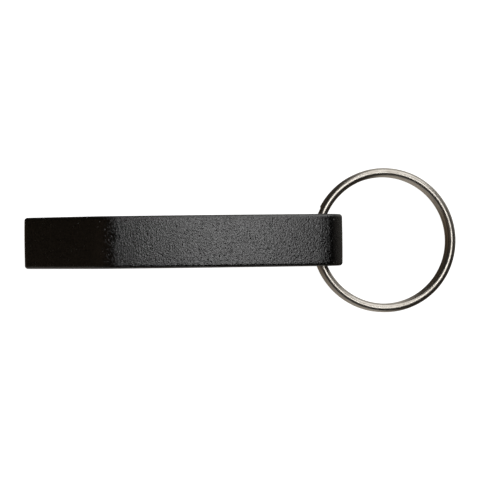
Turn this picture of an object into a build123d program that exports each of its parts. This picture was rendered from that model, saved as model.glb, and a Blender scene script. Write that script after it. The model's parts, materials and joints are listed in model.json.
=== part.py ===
from build123d import *
from math import cos, radians, sin, sqrt
import os

# Keychain bottle opener: a slice of an aluminium extrusion shaped as a claw, with a split ring
# through the eye in its tail. Millimetres. It lies belly down: +X runs from the beak to the ring,
# +Y across the slice, along the extrusion, and +Z up, out of the arched back. Outlines are
# (x, z) pairs with x counted from the beak's nose. The finished parts are moved level so that
# the origin is under the middle of the whole object, on the surface that it lies on.

# the slice
BODY_LENGTH = 62.0
BODY_WIDTH = 10.0
BODY_HEIGHT = 13.0
CREST_X = 25.0          # the back's highest line
BACK_R = 133.0
SHOULDER_R = 20.0       # eases the back down into the tail
TAIL_R = 4.35           # the tail is a full round about the eye
EYE_D = 5.0
EYE_X = BODY_LENGTH - TAIL_R
EDGE_R = 0.6            # tumbled edges of both cut faces
EYE_EDGE_R = 0.5

# the head slopes from the brow down to a blunt nose
BROW_X = 16.0
NOSE_TOP = 2.5
SOLE_Z = 0.3            # the beak's sole clears the surface

# the mouth: the heel presses on a bottle cap, and the lip catches under the cap's rim
HEEL_X = 3.2
ROOF_MIDDLE = (11.8, 5.5)
THROAT_TOP = (22.6, 9.7)
THROAT_FOOT = (25.3, 4.5)
LIP_TIP = (20.6, 2.3)

# the foot under the lip, and the finger recess behind it
FOOT_FRONT_X = 23.2
FOOT_BACK_X = 29.5
FINGER_DEPTH = 5.2

CORNER_R = {
    "brow": 12.0,
    "nose_top": 1.2,
    "nose_low": 1.0,
    "heel": 1.5,
    "throat_top": 3.0,
    "throat_foot": 1.6,
    "lip_tip": 0.9,
    "foot_front": 1.2,
    "foot_back": 1.2,
}

# the split ring: nearly two turns of round spring wire that cross over in the eye
RING_OUTER_D = 28.0
WIRE_D = 1.7
TURN_GAP = 0.06
CROSSING_START = 153.0  # degrees round the ring, where 180 is the middle of the eye
CROSSING_END = 200.0
CROSSING_STEPS = 8
WIRE_END_R = 0.25
EYE_SETBACK = 0.64      # from the hinge axis out to the wire's centre, at the middle of the eye
RING_SLOPE = 5.63       # degrees, down to the far side, which lies on the surface
RING_ROLL = 2.0         # degrees, down to the +Y side
RING_YAW = -0.9         # degrees, the far side's swing towards -Y
RING_MEAN_R = (RING_OUTER_D - WIRE_D) / 2
RING_REACH = RING_MEAN_R - EYE_SETBACK
HALF_PITCH = (WIRE_D + TURN_GAP) / 2


def towards(start, end, distance):
    """The point at a distance from start on the line to end."""
    return start + (end - start).normalized() * distance


def reached_from(first, first_distance, second, second_distance):
    """The point at those distances from two others, on the left of the line from first to second."""
    apart = second - first
    along = (apart.length**2 + first_distance**2 - second_distance**2) / (2 * apart.length)
    ahead = apart.normalized()
    return first + ahead * along + Vector(-ahead.Y, ahead.X) * sqrt(first_distance**2 - along**2)


def outline():
    """The extrusion's section with its corners rounded, in the XZ plane."""
    eye = Vector(EYE_X, TAIL_R)

    # the back is an arc that peaks at the crest, and a shoulder arc leads it into the tail's round
    crest = Vector(CREST_X, BODY_HEIGHT)
    back_centre = crest - Vector(0, BACK_R)
    shoulder_centre = reached_from(back_centre, BACK_R - SHOULDER_R, eye, SHOULDER_R - TAIL_R)
    shoulder_start = towards(back_centre, shoulder_centre, BACK_R)
    tail_top = towards(shoulder_centre, eye, SHOULDER_R)
    shoulder_middle = towards(shoulder_centre, (shoulder_start + tail_top) / 2, SHOULDER_R)
    tail_end = Vector(BODY_LENGTH, TAIL_R)
    brow = Vector(BROW_X, back_centre.Y + sqrt(BACK_R**2 - (CREST_X - BROW_X) ** 2))

    # the finger recess is one arc that starts at the foot and runs smoothly into the tail's round
    foot_back = Vector(FOOT_BACK_X, 0)
    span = EYE_X - FOOT_BACK_X
    reach = (span**2 - 2 * TAIL_R * FINGER_DEPTH) / (2 * span)
    finger_r = (reach**2 + FINGER_DEPTH**2) / (2 * FINGER_DEPTH)
    finger_top = foot_back + Vector(reach, FINGER_DEPTH)
    tail_under = towards(eye, finger_top - Vector(0, finger_r), TAIL_R)

    corners = {
        "brow": brow,
        "nose_top": Vector(0, NOSE_TOP),
        "nose_low": Vector(0, SOLE_Z),
        "heel": Vector(HEEL_X, SOLE_Z),
        "throat_top": Vector(*THROAT_TOP),
        "throat_foot": Vector(*THROAT_FOOT),
        "lip_tip": Vector(*LIP_TIP),
        "foot_front": Vector(FOOT_FRONT_X, 0),
        "foot_back": foot_back,
    }
    under_lip = [corners[n] for n in ("foot_back", "foot_front", "lip_tip", "throat_foot", "throat_top")]
    head = [corners[n] for n in ("heel", "nose_low", "nose_top", "brow")]
    with BuildSketch() as section:
        with BuildLine():
            ThreePointArc(brow, crest, shoulder_start)
            ThreePointArc(shoulder_start, shoulder_middle, tail_top)
            ThreePointArc(tail_top, tail_end, tail_under)
            ThreePointArc(tail_under, finger_top, foot_back)
            Polyline(*under_lip)
            ThreePointArc(corners["throat_top"], Vector(*ROOF_MIDDLE), corners["heel"])
            Polyline(*head)
        make_face()
        for name, corner in corners.items():
            fillet(section.vertices().sort_by_distance(corner)[0], CORNER_R[name])
    return Plane.XZ * section.sketch


def opener_body():
    """The slice with tumbled edges, and the eye bored through its tail."""
    body = extrude(outline(), amount=BODY_WIDTH / 2, both=True)
    rims = body.edges().group_by(Axis.Y)
    body = fillet(rims[0] + rims[-1], EDGE_R)
    body -= Pos(EYE_X, 0, TAIL_R) * Rot(90, 0, 0) * Cylinder(EYE_D / 2, BODY_WIDTH)
    mouths = [e for e in body.edges().filter_by(GeomType.CIRCLE) if e.is_closed]
    return fillet(mouths, EYE_EDGE_R)


def on_wire(angle, level):
    """A point on the wire's centreline. The level runs from 1 on the upper turn to -1 on the lower.
    The ring's own frame has its hinge axis along Y and its reach along +X."""
    turn = radians(angle)
    return Vector(RING_REACH + RING_MEAN_R * cos(turn), RING_MEAN_R * sin(turn), level * HALF_PITCH)


def one_turn(level):
    """One flat turn of the wire, from the end of the crossing round to its start."""
    middle = (CROSSING_START + CROSSING_END - 360) / 2
    ends = on_wire(CROSSING_END, level), on_wire(CROSSING_START, level)
    return ThreePointArc(ends[0], on_wire(middle, level), ends[1])


def split_ring():
    """Two flat turns of wire, joined in the eye by a smooth crossing."""
    upper, lower = one_turn(1), one_turn(-1)
    falling = []
    for step in range(CROSSING_STEPS + 1):
        share = step / CROSSING_STEPS
        angle = CROSSING_START + (CROSSING_END - CROSSING_START) * share
        falling.append(on_wire(angle, 1 - 2 * share**2 * (3 - 2 * share)))
    crossing = Spline(*falling, tangents=[upper % 1, lower % 0])
    section = Plane(origin=upper @ 0, z_dir=upper % 0) * Circle(WIRE_D / 2)
    ring = sweep(section, path=Wire([upper, crossing, lower]))
    ring = fillet(ring.faces().filter_by(GeomType.PLANE).edges(), WIRE_END_R)
    tilt = Rot(0, 0, RING_YAW) * Rot(0, RING_SLOPE, 0) * Rot(-RING_ROLL, 0, 0)
    return Pos(EYE_X, 0, TAIL_R) * tilt * ring


def main():
    os.makedirs("parts", exist_ok=True)
    body, ring = opener_body(), split_ring()
    reach = ring.bounding_box()
    to_origin = Pos(-reach.max.X / 2, -reach.center().Y, 0)
    export_step(to_origin * body, "parts/opener_body.step")
    export_step(to_origin * ring, "parts/split_ring.step")


main()
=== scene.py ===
import json
import math

import bpy
from mathutils import Matrix, Vector, geometry, kdtree, noise


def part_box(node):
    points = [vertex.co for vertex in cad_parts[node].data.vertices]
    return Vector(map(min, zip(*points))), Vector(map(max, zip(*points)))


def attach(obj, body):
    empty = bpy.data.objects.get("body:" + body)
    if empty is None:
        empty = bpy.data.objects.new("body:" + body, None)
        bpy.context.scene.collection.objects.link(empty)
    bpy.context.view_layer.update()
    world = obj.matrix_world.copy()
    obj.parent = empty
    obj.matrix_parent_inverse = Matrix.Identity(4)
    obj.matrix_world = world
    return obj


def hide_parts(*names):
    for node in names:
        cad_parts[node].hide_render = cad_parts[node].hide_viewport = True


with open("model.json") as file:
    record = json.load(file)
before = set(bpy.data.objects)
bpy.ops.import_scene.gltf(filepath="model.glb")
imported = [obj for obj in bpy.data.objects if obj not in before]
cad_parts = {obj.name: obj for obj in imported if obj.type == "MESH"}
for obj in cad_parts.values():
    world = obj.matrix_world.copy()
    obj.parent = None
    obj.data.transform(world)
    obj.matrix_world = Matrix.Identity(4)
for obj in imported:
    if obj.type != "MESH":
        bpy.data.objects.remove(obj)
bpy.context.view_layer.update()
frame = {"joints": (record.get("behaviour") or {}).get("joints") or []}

# A keychain bottle opener seen from above: a black slice of extruded aluminium and a nickel split
# ring. Both pieces are rebuilt here as finer meshes on the CAD model's own dimensions. Lengths are
# millimetres until a mesh is made; section points are (x, z) with x counted from the beak's nose.

MM = 0.001
BODY_LOW, BODY_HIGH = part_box("opener_body")
NOSE = Vector((BODY_LOW.x, (BODY_LOW.y + BODY_HIGH.y) / 2, 0)) / MM

# ---------------------------------------------------------------- the slice's section
BODY_LENGTH, BODY_WIDTH, BODY_HEIGHT = 62.0, 10.0, 13.0
CREST_X, BACK_R, SHOULDER_R, TAIL_R = 25.0, 133.0, 20.0, 4.35
EYE_R, EYE = 2.5, Vector((BODY_LENGTH - TAIL_R, TAIL_R))
EDGE_R, EYE_EDGE_R = 0.6, 0.5
BROW_X, NOSE_TOP, SOLE_Z, HEEL_X = 16.0, 2.5, 0.3, 3.2
ROOF_MIDDLE = Vector((11.8, 5.5))
THROAT_TOP, THROAT_FOOT = Vector((22.6, 9.7)), Vector((25.3, 4.5))
LIP_TIP = Vector((20.6, 2.3))
FOOT_FRONT, FOOT_BACK = Vector((23.2, 0.0)), Vector((29.5, 0.0))
FINGER_DEPTH = 5.2
CORNER_R = {
    "brow": 12.0,
    "nose_top": 1.2,
    "nose_low": 1.0,
    "heel": 1.5,
    "throat_top": 3.0,
    "throat_foot": 1.6,
    "lip_tip": 0.9,
    "foot_front": 1.2,
    "foot_back": 1.2,
}
ROUNDING_TRIES = 30         # Newton steps towards the centre of a corner's arc
ARC_STEP = 0.13             # the most between an arc's samples, as a share of its radius


def left(v):
    """v turned a quarter turn to the left."""
    return Vector((-v.y, v.x))


def cross(a, b):
    return a.x * b.y - a.y * b.x


class Line:
    """A straight edge of the section."""

    def __init__(self, start, end):
        self.start, self.end = start, end

    def direction(self, point):
        return (self.end - self.start).normalized()

    def side(self, point):
        """How far the point is to the left of the edge."""
        return cross(self.direction(point), point - self.start)

    def foot(self, point):
        """The edge's nearest point."""
        ahead = self.direction(point)
        return self.start + ahead * ahead.dot(point - self.start)

    def samples(self, step):
        """(point, left normal) along the edge, without its end."""
        count = max(1, math.ceil((self.end - self.start).length / step))
        normal = left(self.direction(self.start))
        return [(self.start.lerp(self.end, i / count), normal) for i in range(count)]


class Arc:
    """A round edge of the section; turn is 1 anticlockwise and -1 clockwise."""

    def __init__(self, centre, start, end, turn):
        self.centre, self.start, self.end, self.turn = centre, start, end, turn
        self.radius = (start - centre).length

    def direction(self, point):
        return left((point - self.centre).normalized()) * self.turn

    def side(self, point):
        return self.turn * (self.radius - (point - self.centre).length)

    def foot(self, point):
        return self.centre + (point - self.centre).normalized() * self.radius

    def samples(self, step):
        spoke = self.start - self.centre
        first = math.atan2(spoke.y, spoke.x)
        spoke = self.end - self.centre
        sweep = (self.turn * (math.atan2(spoke.y, spoke.x) - first)) % (2 * math.pi)
        count = max(2, math.ceil(sweep * self.radius / min(step, ARC_STEP * self.radius)))
        found = []
        for i in range(count):
            angle = first + self.turn * sweep * i / count
            out = Vector((math.cos(angle), math.sin(angle)))
            found.append((self.centre + out * self.radius, out * -self.turn))
        return found


def arc_through(start, middle, end):
    """The arc from start to end through middle."""
    a, b = start - middle, end - middle
    offset = left(a * b.length_squared - b * a.length_squared) / (2 * cross(a, b))
    return Arc(middle + offset, start, end, 1 if cross(-a, b) > 0 else -1)


def rounding(before, after, radius):
    """The arc of that radius that rounds the corner where one edge ends and the next starts."""
    corner = before.end
    ahead = before.direction(corner), after.direction(corner)
    turn = 1 if cross(*ahead) > 0 else -1
    centre = corner + left(ahead[0] + ahead[1]).normalized() * turn * radius
    for _ in range(ROUNDING_TRIES):
        n, m = left(before.direction(centre)), left(after.direction(centre))
        e, f = turn * radius - before.side(centre), turn * radius - after.side(centre)
        centre = centre + Vector((e * m.y - f * n.y, f * n.x - e * m.x)) / cross(n, m)
    return Arc(centre, before.foot(centre), after.foot(centre), turn)


def sharp_section():
    """The section's edges, clockwise from the brow, before its corners are rounded. Each comes with
    the name of the corner at its end, or None where it runs on smoothly."""
    back_centre = Vector((CREST_X, BODY_HEIGHT - BACK_R))
    apart = EYE - back_centre
    reach, short = BACK_R - SHOULDER_R, SHOULDER_R - TAIL_R
    along = (apart.length_squared + reach**2 - short**2) / (2 * apart.length)
    ahead = apart.normalized()
    shoulder_centre = back_centre + ahead * along + left(ahead) * math.sqrt(reach**2 - along**2)
    shoulder_start = back_centre + (shoulder_centre - back_centre).normalized() * BACK_R
    tail_top = shoulder_centre + (EYE - shoulder_centre).normalized() * SHOULDER_R
    brow = Vector((BROW_X, back_centre.y + math.sqrt(BACK_R**2 - (CREST_X - BROW_X) ** 2)))

    span = EYE.x - FOOT_BACK.x
    reach = (span**2 - 2 * TAIL_R * FINGER_DEPTH) / (2 * span)
    finger_r = (reach**2 + FINGER_DEPTH**2) / (2 * FINGER_DEPTH)
    finger_centre = FOOT_BACK + Vector((reach, FINGER_DEPTH - finger_r))
    tail_under = EYE + (finger_centre - EYE).normalized() * TAIL_R

    heel, nose_low = Vector((HEEL_X, SOLE_Z)), Vector((0.0, SOLE_Z))
    nose_top = Vector((0.0, NOSE_TOP))
    return [
        (Arc(back_centre, brow, shoulder_start, -1), None),
        (Arc(shoulder_centre, shoulder_start, tail_top, -1), None),
        (Arc(EYE, tail_top, tail_under, -1), None),
        (Arc(finger_centre, tail_under, FOOT_BACK, 1), "foot_back"),
        (Line(FOOT_BACK, FOOT_FRONT), "foot_front"),
        (Line(FOOT_FRONT, LIP_TIP), "lip_tip"),
        (Line(LIP_TIP, THROAT_FOOT), "throat_foot"),
        (Line(THROAT_FOOT, THROAT_TOP), "throat_top"),
        (arc_through(THROAT_TOP, ROOF_MIDDLE, heel), "heel"),
        (Line(heel, nose_low), "nose_low"),
        (Line(nose_low, nose_top), "nose_top"),
        (Line(nose_top, brow), "brow"),
    ]


def section(step):
    """(point, outward normal) round the whole rounded section, clockwise."""
    edges = sharp_section()
    rounds = []
    for i, (edge, corner) in enumerate(edges):
        following = edges[(i + 1) % len(edges)][0]
        rounds.append(rounding(edge, following, CORNER_R[corner]) if corner else None)
    found = []
    for i, (edge, _) in enumerate(edges):
        if rounds[i - 1]:
            edge.start = rounds[i - 1].end
        if rounds[i]:
            edge.end = rounds[i].start
        found += edge.samples(step)
        if rounds[i]:
            found += rounds[i].samples(step)
    return found


# ---------------------------------------------------------------- the slice's mesh
HALF_WIDTH = BODY_WIDTH / 2
BAND_STEP = 0.2             # across the slice and along its outline
EDGE_ROWS = 6               # over each rounded edge
FACE_PITCH = 0.42           # of the cut faces' triangles
ROW_PITCH = FACE_PITCH * 0.866
BORDER_GAP = 0.6 * FACE_PITCH
EYE_STEPS = 96
BORE_ROWS = 20
CROWN = 0.05                # tumbling takes this much more off beside the edges
RIM_FADE = 0.5              # how far in from the rounded edges their worn specks and painted glints fade out
RIPPLE = 0.0035             # height of the blasted surface's broad ripples


def ripple(point):
    """Broad shallow ripples of the blasted and coated surface."""
    broad = noise.noise(point * 0.45)
    fine = noise.noise(point * 1.3 + Vector((7.0, 3.0, 11.0)))
    return RIPPLE * (0.7 * broad + 0.3 * fine)


def cross_rows():
    """(y, how far the surface lies inside the section, how much edge wear and painted glint it gets)
    across the slice.
    """
    flat = HALF_WIDTH - EDGE_R
    rows = []
    for i in range(EDGE_ROWS):
        a = math.pi / 2 * (1 - i / EDGE_ROWS)
        rows.append((flat + EDGE_R * math.sin(a), EDGE_R * (1 - math.cos(a)), 1.0))
    count = math.ceil(2 * flat / BAND_STEP)
    for i in range(count + 1):
        y = flat * (1 - 2 * i / count)
        rows.append((y, 0.0, max(0.0, 1 - (flat - abs(y)) / RIM_FADE)))
    return rows + [(-y, inset, worn) for y, inset, worn in reversed(rows[:EDGE_ROWS])]


def bore_rows():
    """(y, radius, how much edge wear and painted glint it gets) along the eye, from just inside one
    mouth to the other.
    """
    flat = HALF_WIDTH - EYE_EDGE_R
    mouth = []
    for i in range(1, EDGE_ROWS + 1):
        a = math.pi / 2 * i / EDGE_ROWS
        y = HALF_WIDTH - EYE_EDGE_R * (1 - math.cos(a))
        mouth.append((y, EYE_R + EYE_EDGE_R * (1 - math.sin(a)), 1.0))
    bore = [(flat * (1 - 2 * i / BORE_ROWS), EYE_R, 0.0) for i in range(1, BORE_ROWS)]
    return mouth + bore + [(-y, radius, worn) for y, radius, worn in reversed(mouth)]


def round_the_eye(radius):
    """Points (x, z) evenly spaced round the eye's axis."""
    angles = [2 * math.pi * i / EYE_STEPS for i in range(EYE_STEPS)]
    return [EYE + Vector((math.cos(a), math.sin(a))) * radius for a in angles]


class Skin:
    """A closed mesh while it grows: its points, how much edge wear and painted glint each one gets,
    and its faces.
    """

    def __init__(self):
        self.verts, self.worn, self.faces = [], [], []

    def add(self, place, worn=0.0):
        """Adds a point and gives its number."""
        self.verts.append(place)
        self.worn.append(worn)
        return len(self.verts) - 1

    def span(self, rows):
        """Adds four-sided faces between neighbouring closed rows of point numbers."""
        for row, following in zip(rows, rows[1:]):
            for i in range(len(row)):
                j = (i + 1) % len(row)
                self.faces.append((row[i], row[j], following[j], following[i]))


def add_band(skin):
    """The band round the slice. Gives its two outermost rows, the +Y one first."""
    outline = section(BAND_STEP)
    rows = []
    for y, inset, worn in cross_rows():
        sag = inset + CROWN * (y / HALF_WIDTH) ** 2
        rows.append([])
        for point, out in outline:
            at = point - out * sag
            place = Vector((at.x, y, at.y))
            lift = ripple(place) - RIPPLE
            rows[-1].append(skin.add(place + Vector((out.x, 0, out.y)) * lift, worn))
    skin.span(rows)
    return rows[0], rows[-1]


def fill_face(loop, hole):
    """Triangles between loop and hole, both lists of (x, z). Gives the points, the triangles, and
    for each point the places that it has in loop followed by hole."""
    border = loop + hole
    tree = kdtree.KDTree(len(border))
    for i, p in enumerate(border):
        tree.insert((p.x, p.y, 0), i)
    tree.balance()
    hole_r = (hole[0] - EYE).length
    inner = []
    for row in range(math.ceil(BODY_HEIGHT / ROW_PITCH)):
        for column in range(math.ceil(BODY_LENGTH / FACE_PITCH)):
            p = Vector((FACE_PITCH * (column + 0.5 * (row % 2)), ROW_PITCH * row))
            if tree.find((p.x, p.y, 0))[2] > BORDER_GAP and (p - EYE).length > hole_r:
                inner.append(p)
    n, m = len(loop), len(hole)
    edges = [(i, (i + 1) % n) for i in range(n)]
    edges += [(n + i, n + (i + 1) % m) for i in range(m)]
    points, _, triangles, places, _, _ = geometry.delaunay_2d_cdt(border + inner, edges, [], 1, 1e-6)
    kept = []
    for a, b, c in triangles:
        if ((points[a] + points[b] + points[c]) / 3 - EYE).length > hole_r:
            kept.append((a, b, c))
    return points, kept, places


def add_cut_face(skin, row, sign):
    """The cut face inside an outermost row, with the eye left open. Gives the eye's mouth there."""
    loop = [Vector((skin.verts[i].x, skin.verts[i].z)) for i in row]
    points, triangles, places = fill_face(loop, round_the_eye(EYE_R + EYE_EDGE_R))
    number, mouth = {}, {}
    for i in sorted({corner for t in triangles for corner in t}):
        source = places[i][0]
        if source < len(loop):
            number[i] = row[source]
            continue
        place = Vector((points[i].x, sign * HALF_WIDTH, points[i].y))
        if source < len(loop) + EYE_STEPS:
            mouth[source - len(loop)] = len(skin.verts)
        else:
            place.y += sign * (ripple(place) - RIPPLE)
        number[i] = skin.add(place)
    for t in triangles:
        corners = [number[i] for i in t]
        a, b, c = (skin.verts[i] for i in corners)
        if (b - a).cross(c - a).y * sign < 0:
            corners.reverse()
        skin.faces.append(tuple(corners))
    return [mouth[i] for i in range(EYE_STEPS)]


def opener_skin():
    """The slice as one closed skin: the band round it, two cut faces and the eye's bore."""
    skin = Skin()
    near, far = add_band(skin)
    mouths = add_cut_face(skin, near, 1), add_cut_face(skin, far, -1)
    rows = [mouths[0]]
    for y, radius, worn in bore_rows():
        rows.append([skin.add(Vector((p.x, y, p.y)), worn) for p in round_the_eye(radius)])
    skin.span(rows + [mouths[1]])
    return skin


def solid(name, verts, faces, **values):
    """A smooth mesh object from points in millimetres, with one value per point for each name."""
    mesh = bpy.data.meshes.new(name)
    mesh.from_pydata([v * MM for v in verts], [], faces)
    mesh.validate()
    mesh.shade_smooth()
    for key, column in values.items():
        mesh.attributes.new(key, "FLOAT", "POINT").data.foreach_set("value", column)
    made = bpy.data.objects.new(name, mesh)
    bpy.context.scene.collection.objects.link(made)
    return made


skin = opener_skin()
opener = solid("opener_skin", [NOSE + v for v in skin.verts], skin.faces, rim=skin.worn)

# ---------------------------------------------------------------- the split ring
RING_OUTER_D, WIRE_D, TURN_GAP = 28.0, 1.7, 0.06
CROSSING_START, CROSSING_END = math.radians(153.0), math.radians(200.0)
WIRE_END_R, EYE_SETBACK = 0.25, 0.64
RING_SLOPE, RING_ROLL, RING_YAW = math.radians(5.63), math.radians(2.0), math.radians(-0.9)
RING_MEAN_R = (RING_OUTER_D - WIRE_D) / 2
RING_REACH = RING_MEAN_R - EYE_SETBACK
HALF_PITCH = (WIRE_D + TURN_GAP) / 2
WIRE_STEP, WIRE_SIDES = 0.25, 40
END_FACE_ROWS = 0.35, 0.7, 0.9      # rows on a cut face, as shares of its flat's radius
END_EDGE_ROWS = 6
END_MARGIN = WIRE_END_R + 0.05      # the wire's plain rows keep this far from its cut ends
SWAY_ACROSS, SWAY_UP = 0.012, 0.008     # how far the wire strays from its line
DENT = 0.0025                       # how far its surface strays from round


def on_wire(angle, level):
    """A point on the wire's centreline; level runs from 1 on the upper turn to -1 on the lower.
    The ring's own frame has its hinge axis along Y and its reach along +X."""
    x, y = RING_MEAN_R * math.cos(angle), RING_MEAN_R * math.sin(angle)
    return Vector((RING_REACH + x, y, level * HALF_PITCH))


def wire_line():
    """The wire's centreline from its upper cut end to its lower one."""
    fall = CROSSING_END - CROSSING_START
    turn = 2 * math.pi - fall
    count = math.ceil(turn * RING_MEAN_R / WIRE_STEP)
    steps = math.ceil(fall * RING_MEAN_R / WIRE_STEP)
    line = [on_wire(CROSSING_END + turn * i / count, 1) for i in range(count)]
    for i in range(steps):
        share = i / steps
        line.append(on_wire(CROSSING_START + fall * share, 1 - 2 * share**2 * (3 - 2 * share)))
    return line + [on_wire(CROSSING_END + turn * i / count, -1) for i in range(count + 1)]


def end_rows():
    """(shift along the wire, radius) over a cut face, from near its middle out to the wire."""
    rows = [(0.0, (WIRE_D / 2 - WIRE_END_R) * share) for share in END_FACE_ROWS]
    for k in range(END_EDGE_ROWS):
        a = math.pi / 2 * k / (END_EDGE_ROWS - 1)
        radius = WIRE_D / 2 - WIRE_END_R * (1 - math.sin(a))
        rows.append((WIRE_END_R * (1 - math.cos(a)), radius))
    return rows


def ring_mesh():
    """The wire's points, faces, and (place along the wire, place around it) for each point."""
    line = wire_line()
    lengths = [0.0]
    for a, b in zip(line, line[1:]):
        lengths.append(lengths[-1] + (b - a).length)
    total, last = lengths[-1], len(line) - 1
    aheads = []
    for i in range(len(line)):
        aheads.append((line[min(i + 1, last)] - line[max(i - 1, 0)]).normalized())

    # (place in line, shift along the wire, radius) of each row
    rows = [(0, shift, radius) for shift, radius in end_rows()]
    for i in range(1, last):
        if END_MARGIN < lengths[i] < total - END_MARGIN:
            rows.append((i, 0.0, WIRE_D / 2))
    rows += [(last, -shift, radius) for shift, radius in reversed(end_rows())]

    verts, faces, places = [], [], []
    for i, shift, radius in rows:
        ahead, along = aheads[i], lengths[i] + shift
        across = ahead.cross(Vector((0, 0, 1))).normalized()
        up = across.cross(ahead)
        sideways = SWAY_ACROSS * noise.noise(Vector((along * 0.16, 5.0, 0)))
        upwards = SWAY_UP * noise.noise(Vector((along * 0.2, 9.0, 4.0)))
        here = line[i] + ahead * shift + across * sideways + up * upwards
        for k in range(WIRE_SIDES):
            a = 2 * math.pi * k / WIRE_SIDES
            out = across * math.cos(a) + up * math.sin(a)
            spot = Vector((along * 0.55, math.cos(a) * 0.6, math.sin(a) * 0.6))
            verts.append(here + out * (radius + DENT * noise.noise(spot)))
            places.append((along, a * WIRE_D / 2))
    for s in range(len(rows) - 1):
        for k in range(WIRE_SIDES):
            a, b = s * WIRE_SIDES + k, s * WIRE_SIDES + (k + 1) % WIRE_SIDES
            faces.append((a, a + WIRE_SIDES, b + WIRE_SIDES, b))
    for s, hub, along in ((0, line[0], 0.0), (len(rows) - 1, line[-1], total)):
        for k in range(WIRE_SIDES):
            a, b = s * WIRE_SIDES + k, s * WIRE_SIDES + (k + 1) % WIRE_SIDES
            faces.append((len(verts), b, a) if s else (len(verts), a, b))
        verts.append(hub)
        places.append((along, 0.0))
    return verts, faces, places


hinge = Vector(frame["joints"][0]["pos_m"]) / MM
slope, roll = Matrix.Rotation(RING_SLOPE, 4, "Y"), Matrix.Rotation(-RING_ROLL, 4, "X")
placing = Matrix.Translation(hinge) @ Matrix.Rotation(RING_YAW, 4, "Z") @ slope @ roll
verts, faces, places = ring_mesh()
along, around = zip(*places)
ring = solid("ring_wire", [placing @ v for v in verts], faces, wire_along=along, wire_around=around)


# ---------------------------------------------------------------- materials
PER_MM = (1000.0, 1000.0, 1000.0)       # texture space in millimetres
ALONG_EXTRUSION = (3400.0, 2000.0, 3400.0)      # finer, and drawn out along Y
COAT_BUMP, PLATE_BUMP = 0.00012, 0.000006       # metres


class Nodes:
    """Short calls for building one material's node tree."""

    def __init__(self, name):
        self.material = bpy.data.materials.new(name)
        self.material.use_nodes = True
        self.tree = self.material.node_tree
        self.shader = self.tree.nodes["Principled BSDF"]

    def add(self, kind, inputs=None, **settings):
        node = self.tree.nodes.new("ShaderNode" + kind)
        for key, value in settings.items():
            setattr(node, key, value)
        for key, value in (inputs or {}).items():
            self.put(node.inputs[key], value)
        return node

    def put(self, socket, value):
        if isinstance(value, bpy.types.NodeSocket):
            self.tree.links.new(value, socket)
        else:
            socket.default_value = value

    def place(self, scale):
        """The object's own coordinates, scaled."""
        place = self.add("TexCoord").outputs["Object"]
        return self.add("Mapping", {"Vector": place, "Scale": scale}).outputs["Vector"]

    def value(self, name):
        """A value that the mesh holds at each point."""
        return self.add("Attribute", attribute_name=name).outputs["Fac"]

    def math(self, operation, *values, clamp=False):
        node = self.add("Math", operation=operation, use_clamp=clamp)
        for socket, value in zip(node.inputs, values):
            self.put(socket, value)
        return node.outputs[0]

    def spread(self, value, low, high, to_low=0.0, to_high=1.0):
        """value from low..high to to_low..to_high, held at the ends."""
        ends = {"From Min": low, "From Max": high, "To Min": to_low, "To Max": to_high}
        return self.add("MapRange", {"Value": value, **ends}).outputs["Result"]

    def noise(self, place, scale, detail=2.0, roughness=0.5):
        settings = {"Scale": scale, "Detail": detail, "Roughness": roughness}
        return self.add("TexNoise", {"Vector": place, **settings}).outputs["Fac"]

    def bump(self, height, distance):
        settings = {"Height": height, "Strength": 1.0, "Distance": distance}
        return self.add("Bump", settings).outputs["Normal"]

    def mix(self, share, a, b):
        node = self.add("Mix", data_type="RGBA")
        self.put(node.inputs[0], share)
        self.put(node.inputs[6], a)
        self.put(node.inputs[7], b)
        return node.outputs[2]


def black_coat():
    """Semi-gloss black coat over a tumbled, finely pebbled aluminium surface."""
    n = Nodes("black_coat")
    stretched, even = n.place(ALONG_EXTRUSION), n.place(PER_MM)

    # relief: fine wrinkles, rounder pebbles, and pits in some of the cells
    wrinkles = n.noise(stretched, 1.0, 3.0, 0.6)
    pebbles = n.noise(even, 4.5, 2.0, 0.5)
    cells = n.add("TexVoronoi", {"Vector": stretched, "Scale": 0.55, "Randomness": 1.0})
    chance = n.add("SeparateColor", {"Color": cells.outputs["Color"]}).outputs[0]
    hollow = n.spread(cells.outputs["Distance"], 0.06, 0.22, 1.0, 0.0)
    pits = n.math("MULTIPLY", hollow, n.spread(chance, 0.45, 0.7))
    height = n.math("ADD", n.math("MULTIPLY", wrinkles, 0.7), n.math("MULTIPLY", pebbles, 0.3))
    height = n.math("SUBTRACT", height, n.math("MULTIPLY", pits, 0.4))

    # gloss: broad patches, duller in the pits
    patches = n.noise(even, 0.35, 2.0)
    rough = n.math("ADD", n.spread(patches, 0.3, 0.7, 0.16, 0.2), n.math("MULTIPLY", pits, 0.3))
    rough = n.math("ADD", rough, n.spread(wrinkles, 0.35, 0.65, -0.03, 0.03))

    # colour: black, with a few pale flecks on the rounded edges, partly worn-through specks and
    # partly painted glints standing in for the edges' highlights
    flecks = n.spread(n.noise(even, 2.2, 3.0, 0.7), 0.66, 0.72)
    worn = n.math("MULTIPLY", flecks, n.spread(n.value("rim"), 0.75, 1.0), clamp=True)
    dark, less_dark = (0.0003, 0.0003, 0.0003, 1), (0.0006, 0.0006, 0.0006, 1)
    black = n.mix(n.spread(patches, 0.3, 0.7), dark, less_dark)
    # the pale grey mixed in here is painted glint as well as worn-through coat on the edges
    colour = n.mix(n.math("MULTIPLY", worn, 0.35), black, (0.12, 0.12, 0.125, 1))

    n.put(n.shader.inputs["Base Color"], colour)
    n.put(n.shader.inputs["Roughness"], rough)
    n.put(n.shader.inputs["Normal"], n.bump(height, COAT_BUMP))
    n.shader.inputs["IOR"].default_value = 2.0
    return n.material


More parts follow.
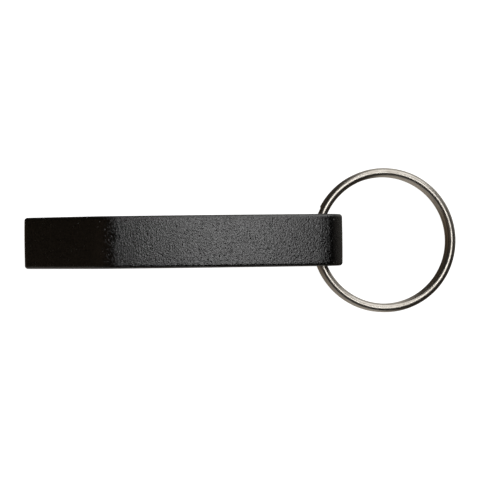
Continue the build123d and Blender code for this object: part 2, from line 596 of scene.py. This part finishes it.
def nickel_plate():
    """Bright nickel on drawn wire: long faint draw lines, tiny dimples and a little haze."""
    n = Nodes("nickel_plate")
    along = n.math("MULTIPLY", n.value("wire_along"), 0.25)
    around = n.math("MULTIPLY", n.value("wire_around"), 9.0)
    lines = n.noise(n.add("CombineXYZ", {"X": along, "Y": around}).outputs[0], 1.0, 3.0, 0.6)
    even = n.place(PER_MM)
    dimples = n.noise(even, 3.5, 3.0, 0.6)
    haze = n.noise(even, 0.5, 2.0)
    height = n.math("ADD", n.math("MULTIPLY", lines, 0.4), n.math("MULTIPLY", dimples, 0.6))
    rough = n.math("ADD", n.spread(haze, 0.3, 0.7, 0.25, 0.32), n.spread(lines, 0.4, 0.7, 0.0, 0.05))
    colour = n.mix(n.spread(haze, 0.3, 0.7), (0.66, 0.62, 0.56, 1), (0.6, 0.555, 0.49, 1))
    n.put(n.shader.inputs["Base Color"], colour)
    n.put(n.shader.inputs["Roughness"], rough)
    n.put(n.shader.inputs["Normal"], n.bump(height, PLATE_BUMP))
    n.shader.inputs["Metallic"].default_value = 1.0
    return n.material


opener.data.materials.append(black_coat())
ring.data.materials.append(nickel_plate())
for piece, body, node, slot in (
    (opener, "opener", "opener_body", "black_anodised"),
    (ring, "ring", "split_ring", "nickel_plated_wire"),
):
    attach(piece, body)
    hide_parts(node)

# ---------------------------------------------------------------- the floor
scene = bpy.context.scene
FLOOR_HALF = 3.0            # metres


def floor_material():
    """White paper that glows like the top of a light table."""
    n = Nodes("studio_floor")
    grain = n.noise(n.add("TexCoord").outputs["Object"], 40.0, 2.0)
    n.put(n.shader.inputs["Base Color"], n.mix(grain, (0.86, 0.86, 0.86, 1), (0.9, 0.9, 0.9, 1)))
    n.shader.inputs["Roughness"].default_value = 0.9
    n.shader.inputs["Specular IOR Level"].default_value = 0.1
    n.shader.inputs["Emission Color"].default_value = (1, 1, 1, 1)
    n.shader.inputs["Emission Strength"].default_value = 1.0
    return n.material


mesh = bpy.data.meshes.new("floor")
corners = [(FLOOR_HALF * x, FLOOR_HALF * y, 0) for x, y in ((-1, -1), (1, -1), (1, 1), (-1, 1))]
mesh.from_pydata(corners, [], [(0, 1, 2, 3)])
floor = bpy.data.objects.new("floor", mesh)
scene.collection.objects.link(floor)
floor.data.materials.append(floor_material())
floor.visible_glossy = False


# ---------------------------------------------------------------- the lights, in metres
def softbox(name, azimuth, tilt, distance, width, height, radiance, turn=0.0, colour=(1, 1, 1)):
    """A soft light that faces the object from azimuth (0 is +X, 90 is +Y), tilt degrees down from
    straight above. width runs level across that direction, height along it; turn spins it."""
    a, t = math.radians(azimuth), math.radians(tilt)
    out = Vector((math.cos(a) * math.sin(t), math.sin(a) * math.sin(t), math.cos(t)))
    level = Vector((-math.sin(a), math.cos(a), 0))
    light = bpy.data.lights.new(name, "AREA")
    light.shape = "RECTANGLE"
    light.size, light.size_y = width, height
    light.energy = radiance * math.pi * width * height
    light.color = colour
    made = bpy.data.objects.new(name, light)
    facing = Matrix((level, out.cross(level), out)).transposed().to_4x4()
    spin = Matrix.Rotation(math.radians(turn), 4, "Z")
    made.matrix_world = Matrix.Translation(out * distance) @ facing @ spin
    made.visible_camera = False
    scene.collection.objects.link(made)


softbox("key_slanted", 31.1, 16.2, 0.8, 0.504, 0.253, 1.2, 8.9)
softbox("key_middle", 25.3, 10.7, 0.8, 0.43, 0.146, 2.85, -5.3)
softbox("wall_far", 66, 56, 0.9, 0.76, 0.8, 1.35)
softbox("wall_near", 246, 74, 0.9, 1.2, 0.36, 0.28)
softbox("fill_left", 190, 47, 0.9, 0.6, 0.3, 0.12, 0, (1.0, 0.72, 0.48))

# the room's glow at floor level, by azimuth in degrees (0 is +X, 90 is +Y)
LOW_GLOW = (
    (-180, (0.08, 0.058, 0.036)),
    (-165, (0.14, 0.11, 0.08)),
    (-145, (0.22, 0.195, 0.165)),
    (-110, (0.4, 0.37, 0.34)),
    (-80, (0.42, 0.395, 0.36)),
    (-66, (0.04, 0.033, 0.026)),
    (-20, (0.05, 0.042, 0.034)),
    (0, (0.1, 0.093, 0.084)),
    (30, (0.4, 0.39, 0.37)),
    (48, (0.5, 0.5, 0.49)),
    (90, (0.5, 0.49, 0.47)),
    (112, (0.04, 0.033, 0.026)),
    (155, (0.04, 0.033, 0.024)),
    (180, (0.08, 0.058, 0.036)),
)
OVERHEAD_GLOW = (0.009, 0.008, 0.007, 1)
GLOW_TOP, GLOW_FULL = 0.22, 0.05        # the sines of the elevations where it starts and is full


def room():
    """The world: dim overhead, and near the floor a soft glow that changes with azimuth."""
    world = bpy.data.worlds.new("studio")
    world.use_nodes = True
    tree = world.node_tree
    add, link = tree.nodes.new, tree.links.new
    place, split = add("ShaderNodeTexCoord"), add("ShaderNodeSeparateXYZ")
    link(place.outputs["Generated"], split.inputs[0])
    azimuth = add("ShaderNodeMath")
    azimuth.operation = "ARCTAN2"
    link(split.outputs["Y"], azimuth.inputs[0])
    link(split.outputs["X"], azimuth.inputs[1])
    shares = []
    for value, low, high in (
        (azimuth.outputs[0], -math.pi, math.pi),
        (split.outputs["Z"], GLOW_TOP, GLOW_FULL),
    ):
        share = add("ShaderNodeMapRange")
        link(value, share.inputs["Value"])
        share.inputs["From Min"].default_value = low
        share.inputs["From Max"].default_value = high
        shares.append(share.outputs["Result"])
    ramp = add("ShaderNodeValToRGB")
    stops = ramp.color_ramp.elements
    stops.remove(stops[1])
    for i, (degrees, colour) in enumerate(LOW_GLOW):
        stop = stops[0] if i == 0 else stops.new(1.0)
        stop.position = (degrees + 180) / 360
        stop.color = (*colour, 1)
    link(shares[0], ramp.inputs["Fac"])
    blend = add("ShaderNodeMix")
    blend.data_type = "RGBA"
    blend.inputs[6].default_value = OVERHEAD_GLOW
    link(shares[1], blend.inputs[0])
    link(ramp.outputs["Color"], blend.inputs[7])
    link(blend.outputs[2], tree.nodes["Background"].inputs["Color"])
    return world


scene.world = room()
scene.view_settings.view_transform = "Standard"

# ---------------------------------------------------------------- the camera, straight above
CAMERA_PLACE = (0.00006, 0.00037, 0.313)
CAMERA_TURN = math.radians(-0.68)
camera = bpy.data.objects.new("camera", bpy.data.cameras.new("camera"))
camera.data.sensor_width = 36.0
camera.data.lens = 119.44
camera.location = CAMERA_PLACE
camera.rotation_euler = (0, 0, CAMERA_TURN)
camera.data.clip_start, camera.data.clip_end = 0.01, 20.0
scene.collection.objects.link(camera)
scene.camera = camera
